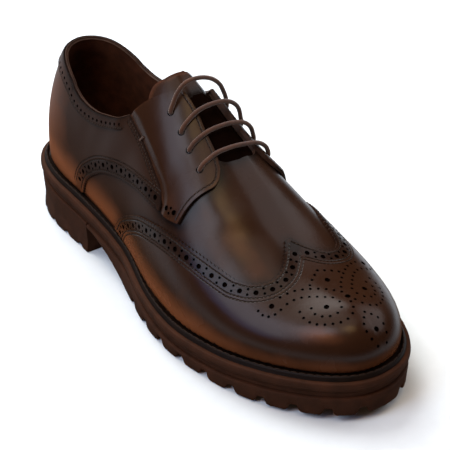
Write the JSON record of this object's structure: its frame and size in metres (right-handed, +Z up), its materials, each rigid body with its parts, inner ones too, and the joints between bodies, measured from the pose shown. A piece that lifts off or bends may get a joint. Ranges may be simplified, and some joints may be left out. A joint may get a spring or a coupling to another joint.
{
  "type": "brogue",
  "caption": "Right-foot derby brogue in burnished brown calf with a winged toe, brogued quarter bands and open laced throat, on a welted lug rubber sole with a heel block.",
  "frame": {"origin": "on the floor under the middle of the sole's outline", "axes": "+Z up, toe towards -Y, heel towards +Y, the outer (lateral) side towards -X"},
  "size_m": [0.1156, 0.304, 0.1327],
  "materials": {
    "calf_leather": "burnished, satin",
    "lining_leather": "matt",
    "welt_leather": "satin",
    "sole_rubber": "moulded, matt",
    "lace_cord": "waxed round braid",
    "gore_elastic": "ribbed elastic"
  },
  "bodies": {
    "root": {"outsole": "sole_rubber", "heel": "sole_rubber", "midsole": "sole_rubber", "welt": "welt_leather", "insole": "lining_leather", "upper": "calf_leather", "tongue": "calf_leather", "wing_cap": "calf_leather", "facing_lateral": "calf_leather", "facing_medial": "calf_leather", "rear_quarter": "calf_leather", "collar_band": "calf_leather", "gore_medial": "gore_elastic", "lace_bar_1": "lace_cord", "lace_bar_2": "lace_cord", "lace_bar_3": "lace_cord", "lace_bar_4": "lace_cord"}
  },
  "joints": []
}
